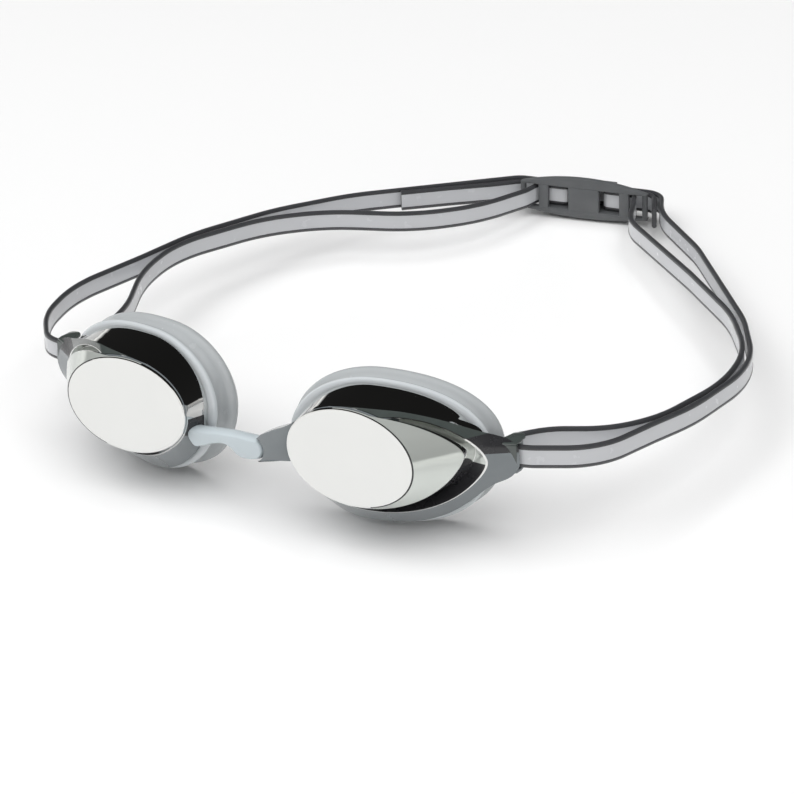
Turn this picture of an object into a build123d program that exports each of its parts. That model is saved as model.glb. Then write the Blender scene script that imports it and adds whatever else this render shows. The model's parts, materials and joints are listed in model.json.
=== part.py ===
"""Swim goggles: two rigid lenses with eye seals, a soft nosepiece, a doubled head strap and a rear clip.

Everything is drawn in a working frame first. Its origin is midway between the two eyes, on the plane of the
flat lens panes, with +X towards the wearer's left eye, +Y towards the back of the head and +Z up.
The last step tips the goggles back until the eye seals and the rear clip touch the ground together,
and puts the origin under the middle of the whole object.
"""

import os
from math import atan2, cos, degrees, pi, radians, sin, tan

from build123d import *

os.makedirs("parts", exist_ok=True)

# Driving sizes, in millimetres
EYE_SPACING = 66.0
PANE_HALF_WIDTH = 18.0
PANE_HALF_HEIGHT = 12.3
STRAP_WIDTH = 6.0
STRAP_THICKNESS = 1.4
HEAD_LENGTH = 174.0
FREE_GAP = 0.3
HINGE_GAP = 0.05

# Lens
EYE_X = EYE_SPACING / 2
WALL = 1.5
PANE_EDGE_WALL = 1.2
CUP_DEPTH = 12.0
RIM_WRAP = 12.0
RIM_NOSE = PANE_HALF_WIDTH + 2.0
RIM_TEMPLE = PANE_HALF_WIDTH + 9.5
RIM_TOP = PANE_HALF_HEIGHT + 3.1
RIM_BOTTOM = PANE_HALF_HEIGHT + 7.2

# How full each quarter of the rim is: 2 is an ellipse, more is squarer
TEMPLE_FULLNESS = 2.3
NOSE_FULLNESS = 2.0

# Eye seal, as growth from the lens rim and distance behind it
FLANGE_GROWTH = 1.4
FLANGE_DEPTH = 2.2
NECK_GROWTH = 0.2
LIP_GROWTH = 2.0
LIP_START = 4.0
SEAL_DEPTH = 8.2
INNER_GROWTH = -2.4

# Nose hinges
HINGE_X = 5.5
HINGE_Y = 4.5
LUG_TOP = -1.2
LUG_BOTTOM = -8.2
LUG_ROOT = 2.0
HEAD_RADIUS = 2.0
LUG_RADIUS = 3.5
LUG_MOUTH_HALF_ANGLE = 53.0
LUG_THICKNESS = 4.6
NECK_THICKNESS = 2.4
NECK_ARCH = 1.9

# Strap plane: it rises from the lens wings to the rear clip
WING_LOOP_X = 66.2
WING_LOOP_Y = 23.5
WING_LOOP_Z = 1.3
CLIP_RISE = 11.5
STRAP_SLOPE = degrees(atan2(CLIP_RISE, HEAD_LENGTH - WING_LOOP_Y))
LOOP_RADIUS = 2.4
LOOP_FRONT_Y = WING_LOOP_Y - LOOP_RADIUS

# Lens wing, around the loop of strap at its end
BAR_RADIUS = 1.3
LOOP_CLEARANCE = 0.5
WING_ROOT = 3.0
WING_TIP_X = 68.9
WING_TIP_Y = 18.0
WING_TIP_THICKNESS = 1.6
SEAL_CLEARANCE = 0.4
RIM_SETBACK = 0.9
WING_HALF_HEIGHT = STRAP_WIDTH / 2 + 1.8
POCKET_HALF_HEIGHT = STRAP_WIDTH / 2 + 0.6

# Rear clip, in its own frame: x along it, y back through it, z up
CLIP_HALF_LENGTH = 19.0
CLIP_HALF_HEIGHT = 5.6
CLIP_END_HALF_HEIGHT = 4.3
CLIP_TURN = 8.9
CLIP_X = 2.2
FRONT_PLATE = 1.5
WINDOW_INNER = 4.6
WINDOW_OUTER = 10.7
SLOT_INNER = 13.6
SLOT_OUTER = 17.6
TUNNEL_BACK = 7.3
REAR_PLATE = 1.2

# The strap's way through the clip, in the clip's own frame
CLIP_EXIT_X = CLIP_HALF_LENGTH + 2.5
SLOT_ENTRY_X = SLOT_OUTER - 1.4
SLOT_ENTRY_Y = -3.2
SLOT_EXIT_X = SLOT_INNER + 1.0
FOLD_X = 6.6
FOLD_RADIUS = 1.0
INNER_LEG_Y = 2.5
TAIL_LEG_Y = 4.6
OUTER_STRAND_Y = 6.35


def pane_plane(depth):
    """The plane across one eye this far behind the pane: its x is outwards to the temple, its y is up."""
    return Plane(origin=(EYE_X, depth, 0), x_dir=(1, 0, 0), z_dir=(0, -1, 0))


def rim_plane(depth):
    """The plane this far behind the lens rim, which wraps back towards the temple."""
    across = cos(radians(RIM_WRAP))
    back = sin(radians(RIM_WRAP))
    origin = (EYE_X - depth * back, CUP_DEPTH + depth * across, 0)
    return Plane(origin=origin, x_dir=(across, back, 0), z_dir=(back, -across, 0))


def quarter(across, up, fullness):
    """One quarter of a rim outline, from its side to its top or bottom, on a superellipse."""
    steps = 6
    places = []
    for step in range(steps + 1):
        angle = step / steps * pi / 2
        places.append((across * cos(angle) ** (2 / fullness), up * sin(angle) ** (2 / fullness)))
    places[0] = (across, 0)
    places[-1] = (0, up)
    return Spline(*places, tangents=[(0, up), (-across, 0)])


def rim_face(growth):
    """The outline of the lens rim, grown outwards."""
    nose = -RIM_NOSE - growth
    temple = RIM_TEMPLE + growth
    top = RIM_TOP + growth
    bottom = -RIM_BOTTOM - growth
    return make_face(
        [
            quarter(temple, top, TEMPLE_FULLNESS),
            quarter(nose, top, NOSE_FULLNESS),
            quarter(nose, bottom, NOSE_FULLNESS),
            quarter(temple, bottom, TEMPLE_FULLNESS),
        ]
    )


def pane_face(growth):
    """The outline of the flat pane, grown outwards: an ellipse in four arcs, to match the rim's quarters."""
    across = PANE_HALF_WIDTH + growth
    up = PANE_HALF_HEIGHT + growth
    arcs = []
    for start in (0, 90, 180, 270):
        arcs.append(EllipticalCenterArc((0, 0), across, up, start_angle=start, arc_size=90))
    return make_face(arcs)


def cup_outside():
    """The raked side wall and pane of one lens, filled."""
    return loft([pane_plane(0) * pane_face(0), rim_plane(0) * rim_face(0)], ruled=True)


def cup_inside():
    """The hollow behind the pane, running out through the back."""
    front = pane_plane(WALL) * pane_face(-PANE_EDGE_WALL)
    return loft([front, rim_plane(0.01) * rim_face(-WALL)], ruled=True)


def strap_plane(offset=0.0):
    """The plane the strap lies in, through the loops at the wings."""
    tilt = Plane(origin=(0, WING_LOOP_Y, WING_LOOP_Z), x_dir=(1, 0, 0), z_dir=(0, 0, 1))
    return tilt.rotated((STRAP_SLOPE, 0, 0)).offset(offset)


def in_strap_plane(x, y):
    """A working-frame plan point, seen in the strap plane."""
    return (x, y - WING_LOOP_Y)


def wing_outline():
    """The wing seen from above: from inside the cup wall out to the strap bar."""
    pane_edge = EYE_X + PANE_HALF_WIDTH
    bar_back = WING_LOOP_Y + BAR_RADIUS
    seal_side = EYE_X + RIM_TEMPLE + FLANGE_GROWTH + SEAL_CLEARANCE
    rim_slope = tan(radians(RIM_WRAP))
    return [
        in_strap_plane(pane_edge - WING_ROOT, 2.2),
        in_strap_plane(pane_edge + 8.0, 8.0),
        in_strap_plane(WING_TIP_X, WING_TIP_Y),
        in_strap_plane(WING_TIP_X, WING_TIP_Y + WING_TIP_THICKNESS),
        in_strap_plane(WING_LOOP_X + BAR_RADIUS, bar_back),
        in_strap_plane(WING_LOOP_X - BAR_RADIUS, bar_back),
        in_strap_plane(seal_side, CUP_DEPTH + (seal_side - EYE_X) * rim_slope + FLANGE_DEPTH),
        in_strap_plane(seal_side, CUP_DEPTH + (seal_side - EYE_X) * rim_slope - RIM_SETBACK),
        in_strap_plane(pane_edge - WING_ROOT, CUP_DEPTH + (pane_edge - EYE_X) * rim_slope - 2 * RIM_SETBACK),
    ]


def wing():
    """The arm that carries the strap: a shell in front, two cheeks and a bar between them."""
    outline = make_face(Polyline(*wing_outline(), close=True))
    block = extrude(strap_plane(-WING_HALF_HEIGHT) * outline, WING_HALF_HEIGHT * 2)
    reach = LOOP_RADIUS + STRAP_THICKNESS / 2 + LOOP_CLEARANCE
    past_wing = 20.0
    centre_x, centre_y = in_strap_plane(WING_LOOP_X, WING_LOOP_Y)
    behind = Rectangle(past_wing + reach, past_wing + 2 * reach)
    pocket = Pos(centre_x + past_wing / 2, centre_y + past_wing / 2) * behind
    pocket += Pos(centre_x, centre_y) * Circle(reach)
    pocket += Pos(centre_x + past_wing / 2, centre_y) * Rectangle(past_wing, 2 * reach)
    block -= extrude(strap_plane(-POCKET_HALF_HEIGHT) * pocket, POCKET_HALF_HEIGHT * 2)
    bar = Pos(centre_x, centre_y) * Circle(BAR_RADIUS)
    return block + extrude(strap_plane(-WING_HALF_HEIGHT) * bar, WING_HALF_HEIGHT * 2)


def nose_lug():
    """The lug on the nose side of a lens: a short arm ending in an open round socket."""
    height = LUG_TOP - LUG_BOTTOM
    floor = Plane(origin=(HINGE_X, HINGE_Y, LUG_BOTTOM))
    arm_end = EYE_X - PANE_HALF_WIDTH + LUG_ROOT - HINGE_X
    arm = Pos(arm_end / 2, 0) * Rectangle(arm_end, LUG_THICKNESS)
    lug = extrude(floor * (arm + Circle(LUG_RADIUS)), height)
    mouth_angle = radians(LUG_MOUTH_HALF_ANGLE)
    mouth_depth = -2 * LUG_RADIUS * cos(mouth_angle)
    mouth_half_width = 2 * LUG_RADIUS * sin(mouth_angle)
    mouth_corners = [(0, 0), (mouth_depth, mouth_half_width), (mouth_depth, -mouth_half_width)]
    mouth = make_face(Polyline(*mouth_corners, close=True))
    lug -= extrude(floor * mouth, height)
    return lug - extrude(floor * Circle(HEAD_RADIUS + HINGE_GAP), height)


def lens():
    """One whole lens: cup, wing and nose lug in a single moulding."""
    return cup_outside() + wing() + nose_lug() - cup_inside()


def seal_ring(start, end, growth):
    """One hollow stretch of the eye seal, between two depths behind the rim."""
    outside = extrude(rim_plane(start) * rim_face(growth), start - end)
    inside = extrude(rim_plane(start) * rim_face(INNER_GROWTH), start - end)
    return outside - inside


def gasket():
    """One eye seal: a flange behind the lens rim, a waist, and a soft lip against the face."""
    flange = seal_ring(0.02, FLANGE_DEPTH, FLANGE_GROWTH)
    neck = seal_ring(FLANGE_DEPTH, LIP_START, NECK_GROWTH)
    return flange + neck + seal_ring(LIP_START, SEAL_DEPTH, LIP_GROWTH)


def nose_bridge():
    """The soft nosepiece: two round heads and a neck arched underneath."""
    height = LUG_TOP - LUG_BOTTOM
    heads = []
    for side in (-1, 1):
        floor = Plane(origin=(side * HINGE_X, HINGE_Y, LUG_BOTTOM))
        heads.append(extrude(floor * Circle(HEAD_RADIUS), height))
    front = Plane(origin=(0, HINGE_Y - NECK_THICKNESS / 2, 0), x_dir=(1, 0, 0), z_dir=(0, -1, 0))
    outline = make_face(
        [
            Line((-HINGE_X, LUG_BOTTOM), (-HINGE_X, LUG_TOP)),
            Line((-HINGE_X, LUG_TOP), (HINGE_X, LUG_TOP)),
            Line((HINGE_X, LUG_TOP), (HINGE_X, LUG_BOTTOM)),
            ThreePointArc((HINGE_X, LUG_BOTTOM), (0, LUG_BOTTOM + NECK_ARCH), (-HINGE_X, LUG_BOTTOM)),
        ]
    )
    neck = extrude(front * outline, -NECK_THICKNESS)
    return heads[0] + neck + heads[1]


def clip_point(x, y):
    """A point in the clip's own frame, seen in the strap plane."""
    turn = radians(CLIP_TURN)
    plan_x = CLIP_X + x * cos(turn) - y * sin(turn)
    plan_y = HEAD_LENGTH + x * sin(turn) + y * cos(turn)
    return in_strap_plane(plan_x, plan_y)


def corner_radius(before, corner, after, wanted):
    """The wanted bend radius, or the largest one that leaves a straight run on each side of the corner."""
    arriving = Vector(*corner) - Vector(*before)
    leaving = Vector(*after) - Vector(*corner)
    half_turn = radians(arriving.get_angle(leaving)) / 2
    longest = 0.47 * min(arriving.length, leaving.length)
    return min(wanted, longest / tan(half_turn))


def strand(points):
    """Plan points with the wanted bend radius at each, as one smooth line in the strap plane."""
    places = [place for place, radius in points]
    radii = []
    for before, corner, after in zip(points, points[1:], points[2:]):
        radii.append(corner_radius(before[0], corner[0], after[0], corner[1]))
    return FilletPolyline(*places, radius=radii)


# Where each strand bends, seen from above, as (outwards, back) in mm. The outer strands run from the clip to
# the wing bar, the inner strands run back from the bar to the clip.
LEFT_OUTER = [(28.8, 170.7), (49.8, 151.8), (82.4, 113.6), (97, 89.7), (94.6, 60.6), (90.5, 47.6), (85.4, 29.3)]
LEFT_OUTER.append((69.4, LOOP_FRONT_Y))
LEFT_INNER = [(69.3, 33.1), (82.4, 39.9), (90, 51.2), (94.9, 76.4), (91.2, 96.5), (77.7, 115.7), (56, 135.1)]
LEFT_INNER.append((23.4, 161.8))
RIGHT_OUTER = [(56.4, 142.8), (69.8, 123.2), (80.1, 97.9), (83.4, 76.7), (88.1, 52.6), (83.2, 33.6)]
RIGHT_OUTER.append((73.1, LOOP_FRONT_Y))
RIGHT_INNER = [(65.7, 45.7), (77.5, 69.8), (80.2, 89.9), (68.9, 116.5), (55.7, 129.2), (32.6, 138.1)]
RIGHT_INNER.append((19.5, 151.8))
LEFT_TAIL_END = (26.5, 171)
RIGHT_TAIL = [(24.3, 168.2), (33.9, 160.2)]
RIGHT_TAIL_END = (44.4, 150.9)
EASY_BEND = 60.0


def strand_corners(side, places):
    """Bends of one strand in the strap plane, each with the widest radius that fits."""
    return [(in_strap_plane(side * x, y), EASY_BEND) for x, y in places]


def half_strap(side, outer_places, inner_places, tail):
    """One side of the strap: from the clip's middle, round the wing bar, back into the clip, and its tail."""
    wing_x = side * WING_LOOP_X
    line = [(clip_point(0, OUTER_STRAND_Y), 0)]
    line.append((clip_point(side * CLIP_EXIT_X, OUTER_STRAND_Y), 6))
    line += strand_corners(side, outer_places)
    line.append((in_strap_plane(wing_x - side * LOOP_RADIUS, LOOP_FRONT_Y), LOOP_RADIUS))
    line.append((in_strap_plane(wing_x - side * LOOP_RADIUS, WING_LOOP_Y + LOOP_RADIUS), LOOP_RADIUS))
    line += strand_corners(side, inner_places)
    line.append((clip_point(side * SLOT_ENTRY_X, SLOT_ENTRY_Y), 4))
    line.append((clip_point(side * SLOT_EXIT_X, INNER_LEG_Y), 1.7))
    line.append((clip_point(side * FOLD_X, INNER_LEG_Y), FOLD_RADIUS))
    line.append((clip_point(side * FOLD_X, TAIL_LEG_Y), FOLD_RADIUS))
    return strand(line + tail)


def strap_line():
    """The two sides of the strap, each as one line."""
    left_tail = [(clip_point(CLIP_HALF_LENGTH + 0.8, TAIL_LEG_Y), 4)]
    left_tail.append((in_strap_plane(*LEFT_TAIL_END), 0))
    right_tail = [(clip_point(-CLIP_HALF_LENGTH + 0.8, TAIL_LEG_Y), 4)]
    right_tail += strand_corners(-1, RIGHT_TAIL)
    right_tail.append((in_strap_plane(-RIGHT_TAIL_END[0], RIGHT_TAIL_END[1]), 0))
    left_eye = half_strap(1, LEFT_OUTER, LEFT_INNER, left_tail)
    right_eye = half_strap(-1, RIGHT_OUTER, RIGHT_INNER, right_tail)
    return left_eye, right_eye


def head_strap():
    """The whole strap: one flat band standing on edge in the strap plane."""
    sides = [trace(line, STRAP_THICKNESS) for line in strap_line()]
    bands = [extrude(strap_plane(-STRAP_WIDTH / 2) * side, STRAP_WIDTH) for side in sides]
    return bands[0] + bands[1]


def clip_face(half_length, half_height, end_half_height):
    """The clip's pointed oval outline, with squared-off ends."""
    ends = [(half_length, end_half_height), (half_length, -end_half_height)]
    return make_face(
        [
            ThreePointArc((-half_length, end_half_height), (0, half_height), ends[0]),
            Line(ends[0], ends[1]),
            ThreePointArc(ends[1], (0, -half_height), (-half_length, -end_half_height)),
            Line((-half_length, -end_half_height), (-half_length, end_half_height)),
        ]
    )


def clip_plane():
    """The plane across the clip's front: its x is along the clip, its y is up and its z is forwards."""
    flat = strap_plane()
    along = flat.x_dir * cos(radians(CLIP_TURN)) + flat.y_dir * sin(radians(CLIP_TURN))
    return Plane(origin=flat.from_local_coords(clip_point(0, 0)), x_dir=along, z_dir=along.cross(flat.z_dir))


def rear_clip():
    """The adjuster: a front plate with two slots and two windows, and a tunnel behind it for the strap."""
    outline = clip_face(CLIP_HALF_LENGTH, CLIP_HALF_HEIGHT, CLIP_END_HALF_HEIGHT)
    body = extrude(outline, -TUNNEL_BACK - REAR_PLATE)
    tunnel_height = STRAP_WIDTH + 2 * FREE_GAP
    tunnel_depth = TUNNEL_BACK - FRONT_PLATE
    tunnel = Box(3 * CLIP_HALF_LENGTH, tunnel_height, tunnel_depth)
    body -= Pos(0, 0, -FRONT_PLATE - tunnel_depth / 2) * tunnel
    for side in (-1, 1):
        for inner, outer in ((WINDOW_INNER, WINDOW_OUTER), (SLOT_INNER, SLOT_OUTER)):
            middle = side * (inner + outer) / 2
            body -= Pos(middle, 0, -FRONT_PLATE / 2) * Box(outer - inner, tunnel_height, FRONT_PLATE * 1.5)
    return clip_plane() * body


def resting_pitch(seal):
    """How far the goggles tip back, in degrees, to stand on the rear clip's lower edge and this seal's lip."""
    clip_low = strap_plane(-CLIP_HALF_HEIGHT).from_local_coords(clip_point(0, TUNNEL_BACK + REAR_PLATE))
    steps = 40
    steepest = 0
    for edge in seal.edges():
        for step in range(steps + 1):
            place = edge.position_at(step / steps)
            steepest = max(steepest, atan2(clip_low.Z - place.Z, clip_low.Y - place.Y))
    return degrees(steepest)


def build():
    """Every sub-part, by node name, in its final place."""
    left_lens = lens()
    left_gasket = gasket()
    pieces = {
        "left_lens": left_lens,
        "right_lens": mirror(left_lens, about=Plane.YZ),
        "left_gasket": left_gasket,
        "right_gasket": mirror(left_gasket, about=Plane.YZ),
        "nose_bridge": nose_bridge(),
        "head_strap": head_strap(),
        "rear_clip": rear_clip(),
    }
    pitch = resting_pitch(left_gasket)
    tipped = {name: Rot(-pitch, 0, 0) * piece for name, piece in pieces.items()}
    whole = tipped["head_strap"].bounding_box()
    for piece in tipped.values():
        whole = whole.add(piece.bounding_box())
    shift = Pos(-whole.center().X, -whole.center().Y, -whole.min.Z)
    return {name: shift * piece for name, piece in tipped.items()}


for name, piece in build().items():
    export_step(piece, f"parts/{name}.step")
    print(name, round(piece.volume, 1), piece.bounding_box())
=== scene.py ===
"""Looks of the swim goggles: mirrored lenses, silicone seals, nosepiece, two-tone strap and rear clip.

Shapes are drawn in a working frame in millimetres: the origin is midway between the eyes on the plane of the
panes, +X towards the wearer's left eye, +Y towards the back of the head, +Z up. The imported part's hinges
say how that frame is tipped and placed in the row frame.
"""

import json
import math

import bmesh
import bpy
import numpy as np
from mathutils import Matrix, Vector


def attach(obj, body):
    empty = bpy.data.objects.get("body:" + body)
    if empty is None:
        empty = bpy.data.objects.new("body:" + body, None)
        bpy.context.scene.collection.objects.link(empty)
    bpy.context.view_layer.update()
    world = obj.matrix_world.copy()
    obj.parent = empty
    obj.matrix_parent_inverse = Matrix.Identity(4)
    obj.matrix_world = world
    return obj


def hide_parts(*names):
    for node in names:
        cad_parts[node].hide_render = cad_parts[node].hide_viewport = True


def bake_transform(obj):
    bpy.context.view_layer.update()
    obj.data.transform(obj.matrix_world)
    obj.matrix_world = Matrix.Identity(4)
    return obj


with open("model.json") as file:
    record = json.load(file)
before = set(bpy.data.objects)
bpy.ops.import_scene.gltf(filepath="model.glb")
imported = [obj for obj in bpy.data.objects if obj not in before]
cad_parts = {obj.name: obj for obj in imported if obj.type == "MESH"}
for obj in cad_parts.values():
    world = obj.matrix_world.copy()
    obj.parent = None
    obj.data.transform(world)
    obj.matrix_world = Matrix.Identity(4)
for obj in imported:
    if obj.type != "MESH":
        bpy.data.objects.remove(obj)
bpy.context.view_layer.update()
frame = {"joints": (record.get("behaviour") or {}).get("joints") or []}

# Driving sizes, in millimetres, as in the CAD model
EYE_X = 33.0
PANE_HALF_WIDTH = 18.0
PANE_HALF_HEIGHT = 12.3
CUP_DEPTH = 12.0
RIM_WRAP = math.radians(12.0)
RIM_NOSE = 20.0
RIM_TEMPLE = 27.5
RIM_TOP = 15.4
RIM_BOTTOM = 19.5
TEMPLE_FULLNESS = 2.3
NOSE_FULLNESS = 2.0
WALL = 1.4
STRAP_WIDTH = 6.0
STRAP_THICKNESS = 1.4
WING_LOOP_X = 66.2
WING_LOOP_Y = 23.5
WING_LOOP_Z = 1.3
LOOP_RADIUS = 2.4
BAR_RADIUS = 1.3
HEAD_LENGTH = 174.0
CLIP_RISE = 11.5
CLIP_TURN = math.radians(8.9)
CLIP_X = 2.2
FRONT_PLATE = 1.5
TUNNEL_BACK = 7.3
REAR_PLATE = 1.2
CLIP_FRONT = 2.0
HINGE_Y = 4.5
HINGE_Z = -4.7
STRAP_SLOPE = math.atan2(CLIP_RISE, HEAD_LENGTH - WING_LOOP_Y)
SPOKES = 180
MM = 0.001


# ---------------------------------------------------------------- working frame to row frame


def hinge(name):
    """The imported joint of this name."""
    return next(joint for joint in frame["joints"] if joint["name"] == name)


LEFT_HINGE = hinge("left_eyepiece_hinge")
RIGHT_HINGE = hinge("right_eyepiece_hinge")
TIP_SIN = LEFT_HINGE["axis"][1]
TIP_COS = LEFT_HINGE["axis"][2]
TIP = Matrix(((1, 0, 0), (0, TIP_COS, TIP_SIN), (0, -TIP_SIN, TIP_COS)))
BRIDGE_MIDDLE = (Vector(LEFT_HINGE["pos_m"]) + Vector(RIGHT_HINGE["pos_m"])) / 2
ORIGIN = BRIDGE_MIDDLE - TIP @ (Vector((0, HINGE_Y, HINGE_Z)) * MM)


def to_row(points):
    """Working-frame millimetres as row-frame metres."""
    turned = np.asarray(points, float) @ np.array(TIP.transposed(), float)
    return turned * MM + np.array(ORIGIN, float)


# ---------------------------------------------------------------- mesh helpers


def add_mesh(name, points, faces, materials, face_slots=None, sharp_degrees=32.0):
    """A smooth-shaded mesh object from working-frame points, sharp where its faces meet at a larger angle."""
    mesh = bpy.data.meshes.new(name)
    mesh.from_pydata([tuple(p) for p in to_row(points)], [], faces)
    mesh.validate()
    face_outwards(mesh)
    for material in materials:
        mesh.materials.append(material)
    if face_slots is not None:
        mesh.polygons.foreach_set("material_index", face_slots)
    mesh.polygons.foreach_set("use_smooth", [True] * len(mesh.polygons))
    mesh.set_sharp_from_angle(angle=math.radians(sharp_degrees))
    mesh.update()
    thing = bpy.data.objects.new(name, mesh)
    bpy.context.scene.collection.objects.link(thing)
    return thing


def face_outwards(mesh):
    """Turns every face of each closed shell to look away from its inside."""
    work = bmesh.new()
    work.from_mesh(mesh)
    bmesh.ops.recalc_face_normals(work, faces=work.faces)
    work.to_mesh(mesh)
    work.free()


class Shape:
    """Points, faces and material slots of a mesh while it is being put together."""

    def __init__(self):
        self.points = []
        self.faces = []
        self.slots = []

    def add(self, points, faces, slots):
        """Adds a piece of mesh. slots is one number, or one for each face."""
        start = sum(len(block) for block in self.points)
        self.points.append(np.asarray(points, float))
        self.faces += [tuple(start + i for i in face) for face in faces]
        self.slots += [slots] * len(faces) if isinstance(slots, int) else list(slots)

    def mirrored(self):
        """The same shape on the other side of the nose."""
        twin = Shape()
        twin.points = [block * np.array((-1.0, 1.0, 1.0)) for block in self.points]
        twin.faces = [face[::-1] for face in self.faces]
        twin.slots = list(self.slots)
        return twin

    def make(self, name, materials, sharp_degrees=32.0):
        """The finished object."""
        return add_mesh(name, np.concatenate(self.points), self.faces, materials, self.slots, sharp_degrees)


def loft(shape, rings, slots, close_start=None, close_end=None, loop=False):
    """Skins a row of closed rings with equal point counts. slots has one material number for each gap."""
    count = len(rings[0])
    faces = []
    numbers = []
    gaps = len(rings) if loop else len(rings) - 1
    for gap in range(gaps):
        here = gap * count
        there = ((gap + 1) % len(rings)) * count
        for i in range(count):
            j = (i + 1) % count
            faces.append((here + i, here + j, there + j, there + i))
            number = slots if isinstance(slots, int) else slots[gap]
            numbers.append(int(number[i]) if np.ndim(number) else number)
    if close_start is not None:
        faces.append(tuple(range(count))[::-1])
        numbers.append(close_start)
    if close_end is not None:
        last = (len(rings) - 1) * count
        faces.append(tuple(range(last, last + count)))
        numbers.append(close_end)
    shape.add(np.concatenate(rings), faces, numbers)


def slab(shape, outline, low, high, place, slot, edge=0.25):
    """A plate with eased edges, from a plain outline and two heights, put in place by a function."""
    outline = np.asarray(outline, float)
    levels = []
    for height, inset in ((low, edge), (low + edge * 0.3, edge * 0.3), (low + edge, 0), (high - edge, 0),
                          (high - edge * 0.3, edge * 0.3), (high, edge)):
        levels.append(place(inset_outline(outline, inset), height))
    loft(shape, levels, slot, close_start=slot, close_end=slot)


def inset_outline(outline, distance):
    """A closed plane outline moved inwards by this distance along its own normals."""
    before = np.roll(outline, 1, axis=0)
    after = np.roll(outline, -1, axis=0)
    along = after - before
    along /= np.maximum(np.linalg.norm(along, axis=1, keepdims=True), 1e-9)
    inwards = np.stack((-along[:, 1], along[:, 0]), axis=1)
    return outline + inwards * distance


def smooth_step(value, start, end):
    """0 before start, 1 after end, and an even turn between them."""
    t = np.clip((np.asarray(value, float) - start) / (end - start), 0, 1)
    return t * t * (3 - 2 * t)


# ---------------------------------------------------------------- outlines of one eyepiece
# A ring is one point for each spoke round the wearer's left eye, as (outwards, depth, up) from the pane's
# centre.

ANGLES = np.linspace(0, 2 * math.pi, SPOKES, endpoint=False)
TIP_EASE = 5.0


def eye_ring(across, depth, up):
    """Working-frame points of a ring, from its outward, depth and upward distances."""
    return np.stack((EYE_X + across + 0 * ANGLES, depth + 0 * ANGLES, up + 0 * ANGLES), axis=1)


def pane_ring(scale, depth):
    """A copy of the pane's ellipse, scaled by a number or by one number for each spoke."""
    across = PANE_HALF_WIDTH * scale * np.cos(ANGLES)
    up = PANE_HALF_HEIGHT * scale * np.sin(ANGLES)
    return eye_ring(across, depth, up)


def rim_ring(growth, behind):
    """The lens rim's outline, grown outwards and this far behind the rim, which wraps back to the temple."""
    cosine = np.cos(ANGLES)
    sine = np.sin(ANGLES)
    temple = cosine > 0
    across = np.where(temple, RIM_TEMPLE, RIM_NOSE) + growth
    up = np.where(sine > 0, RIM_TOP + 0.5 * growth, RIM_BOTTOM + np.minimum(growth, 0.3 * growth))
    power = 2 / np.where(temple, TEMPLE_FULLNESS, NOSE_FULLNESS)
    along = across * np.sign(cosine) * np.abs(cosine) ** power
    height = up * np.sign(sine) * np.abs(sine) ** power
    x = along * math.cos(RIM_WRAP) - behind * math.sin(RIM_WRAP)
    return eye_ring(x, rim_depth(along, behind), height)


def rim_depth(along, behind):
    """How deep a place in the plane of the rim is, this far behind it."""
    return CUP_DEPTH + along * math.sin(RIM_WRAP) + behind * math.cos(RIM_WRAP)


def teardrop_scale(tip_degrees, reach, upper_span, upper_power, lower_span, lower_power):
    """How far each spoke of the pane's ellipse is drawn out to make a teardrop with a small round tip."""
    away = np.degrees(np.angle(np.exp(1j * (ANGLES - math.radians(tip_degrees)))))
    eased = np.sqrt(away**2 + TIP_EASE**2) - TIP_EASE
    upper = np.clip(1 - eased / upper_span, 0, 1) ** upper_power
    lower = np.clip(1 - eased / lower_span, 0, 1) ** lower_power
    return 1 + (reach - 1) * np.where(away >= 0, upper, lower)


def around(keys):
    """Values at every spoke, run smoothly through (degrees, value, value, ...) keys round the eye."""
    keys = sorted(keys)
    degrees = np.array([key[0] for key in keys], float)
    values = np.array([key[1:] for key in keys], float)
    span = np.concatenate((degrees - 360, degrees, degrees + 360))
    table = np.concatenate((values, values, values))
    slopes = np.gradient(table, span, axis=0)
    places = np.degrees(ANGLES)
    right = np.searchsorted(span, places, side="right")
    left = right - 1
    step = (span[right] - span[left])[:, None]
    t = ((places - span[left]) / (span[right] - span[left]))[:, None]
    curve = (2 * t**3 - 3 * t**2 + 1) * table[left] + (t**3 - 2 * t**2 + t) * step * slopes[left]
    return curve + (3 * t**2 - 2 * t**3) * table[right] + (t**3 - t**2) * step * slopes[right]


# The outer edge of the front of the lens: (degrees, outwards, depth, up), over the brow, along the wing's
# ridge, round its blunt end and back under the rim
FRONT_EDGE = [
    (98, -2.5, 0.9, 12.5),
    (84, 2.4, 1.4, 13.0),
    (72, 6.2, 2.4, 13.1),
    (58, 11.6, 4.8, 12.8),
    (44, 17.5, 8.5, 11.4),
    (32, 22.5, 12.0, 9.6),
    (22, 27.6, 15.6, 7.6),
    (14, 33.0, 19.2, 5.6),
    (10, 35.2, 19.6, 4.3),
    (6, 35.7, 19.6, 2.6),
    (-4, 35.6, 19.4, -1.9),
    (-8, 34.4, 18.8, -3.6),
    (-16, 30.4, 17.2, -6.0),
    (-32, 24.2, 15.6, -11.6),
    (-52, 17.4, 14.4, -16.2),
    (-72, 9.6, 12.9, -18.9),
    (-90, 0.0, 10.9, -19.8),
    (-112, -7.2, 9.4, -18.4),
    (-135, -13.7, 8.2, -14.0),
    (-158, -18.0, 7.3, -7.4),
    (-178, -19.2, 6.6, -0.7),
    (158, -17.5, 4.9, 5.3),
    (136, -13.3, 2.8, 9.2),
    (116, -8.1, 1.2, 11.4),
]


def front_edge():
    """The ring along the outer edge of the lens's front."""
    values = around(FRONT_EDGE)
    return eye_ring(values[:, 0], values[:, 1], values[:, 2])


def mix_rings(first, second, share):
    """A ring between two others; share may differ from spoke to spoke."""
    share = np.asarray(share, float)[..., None] if np.ndim(share) else share
    return first * (1 - share) + second * share


def wall_ring(share):
    """A ring part way down the plain side wall, from the pane's edge at 0 to the rim at 1."""
    return mix_rings(pane_ring(1.0, 0.15), rim_ring(0, 0), share)


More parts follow.
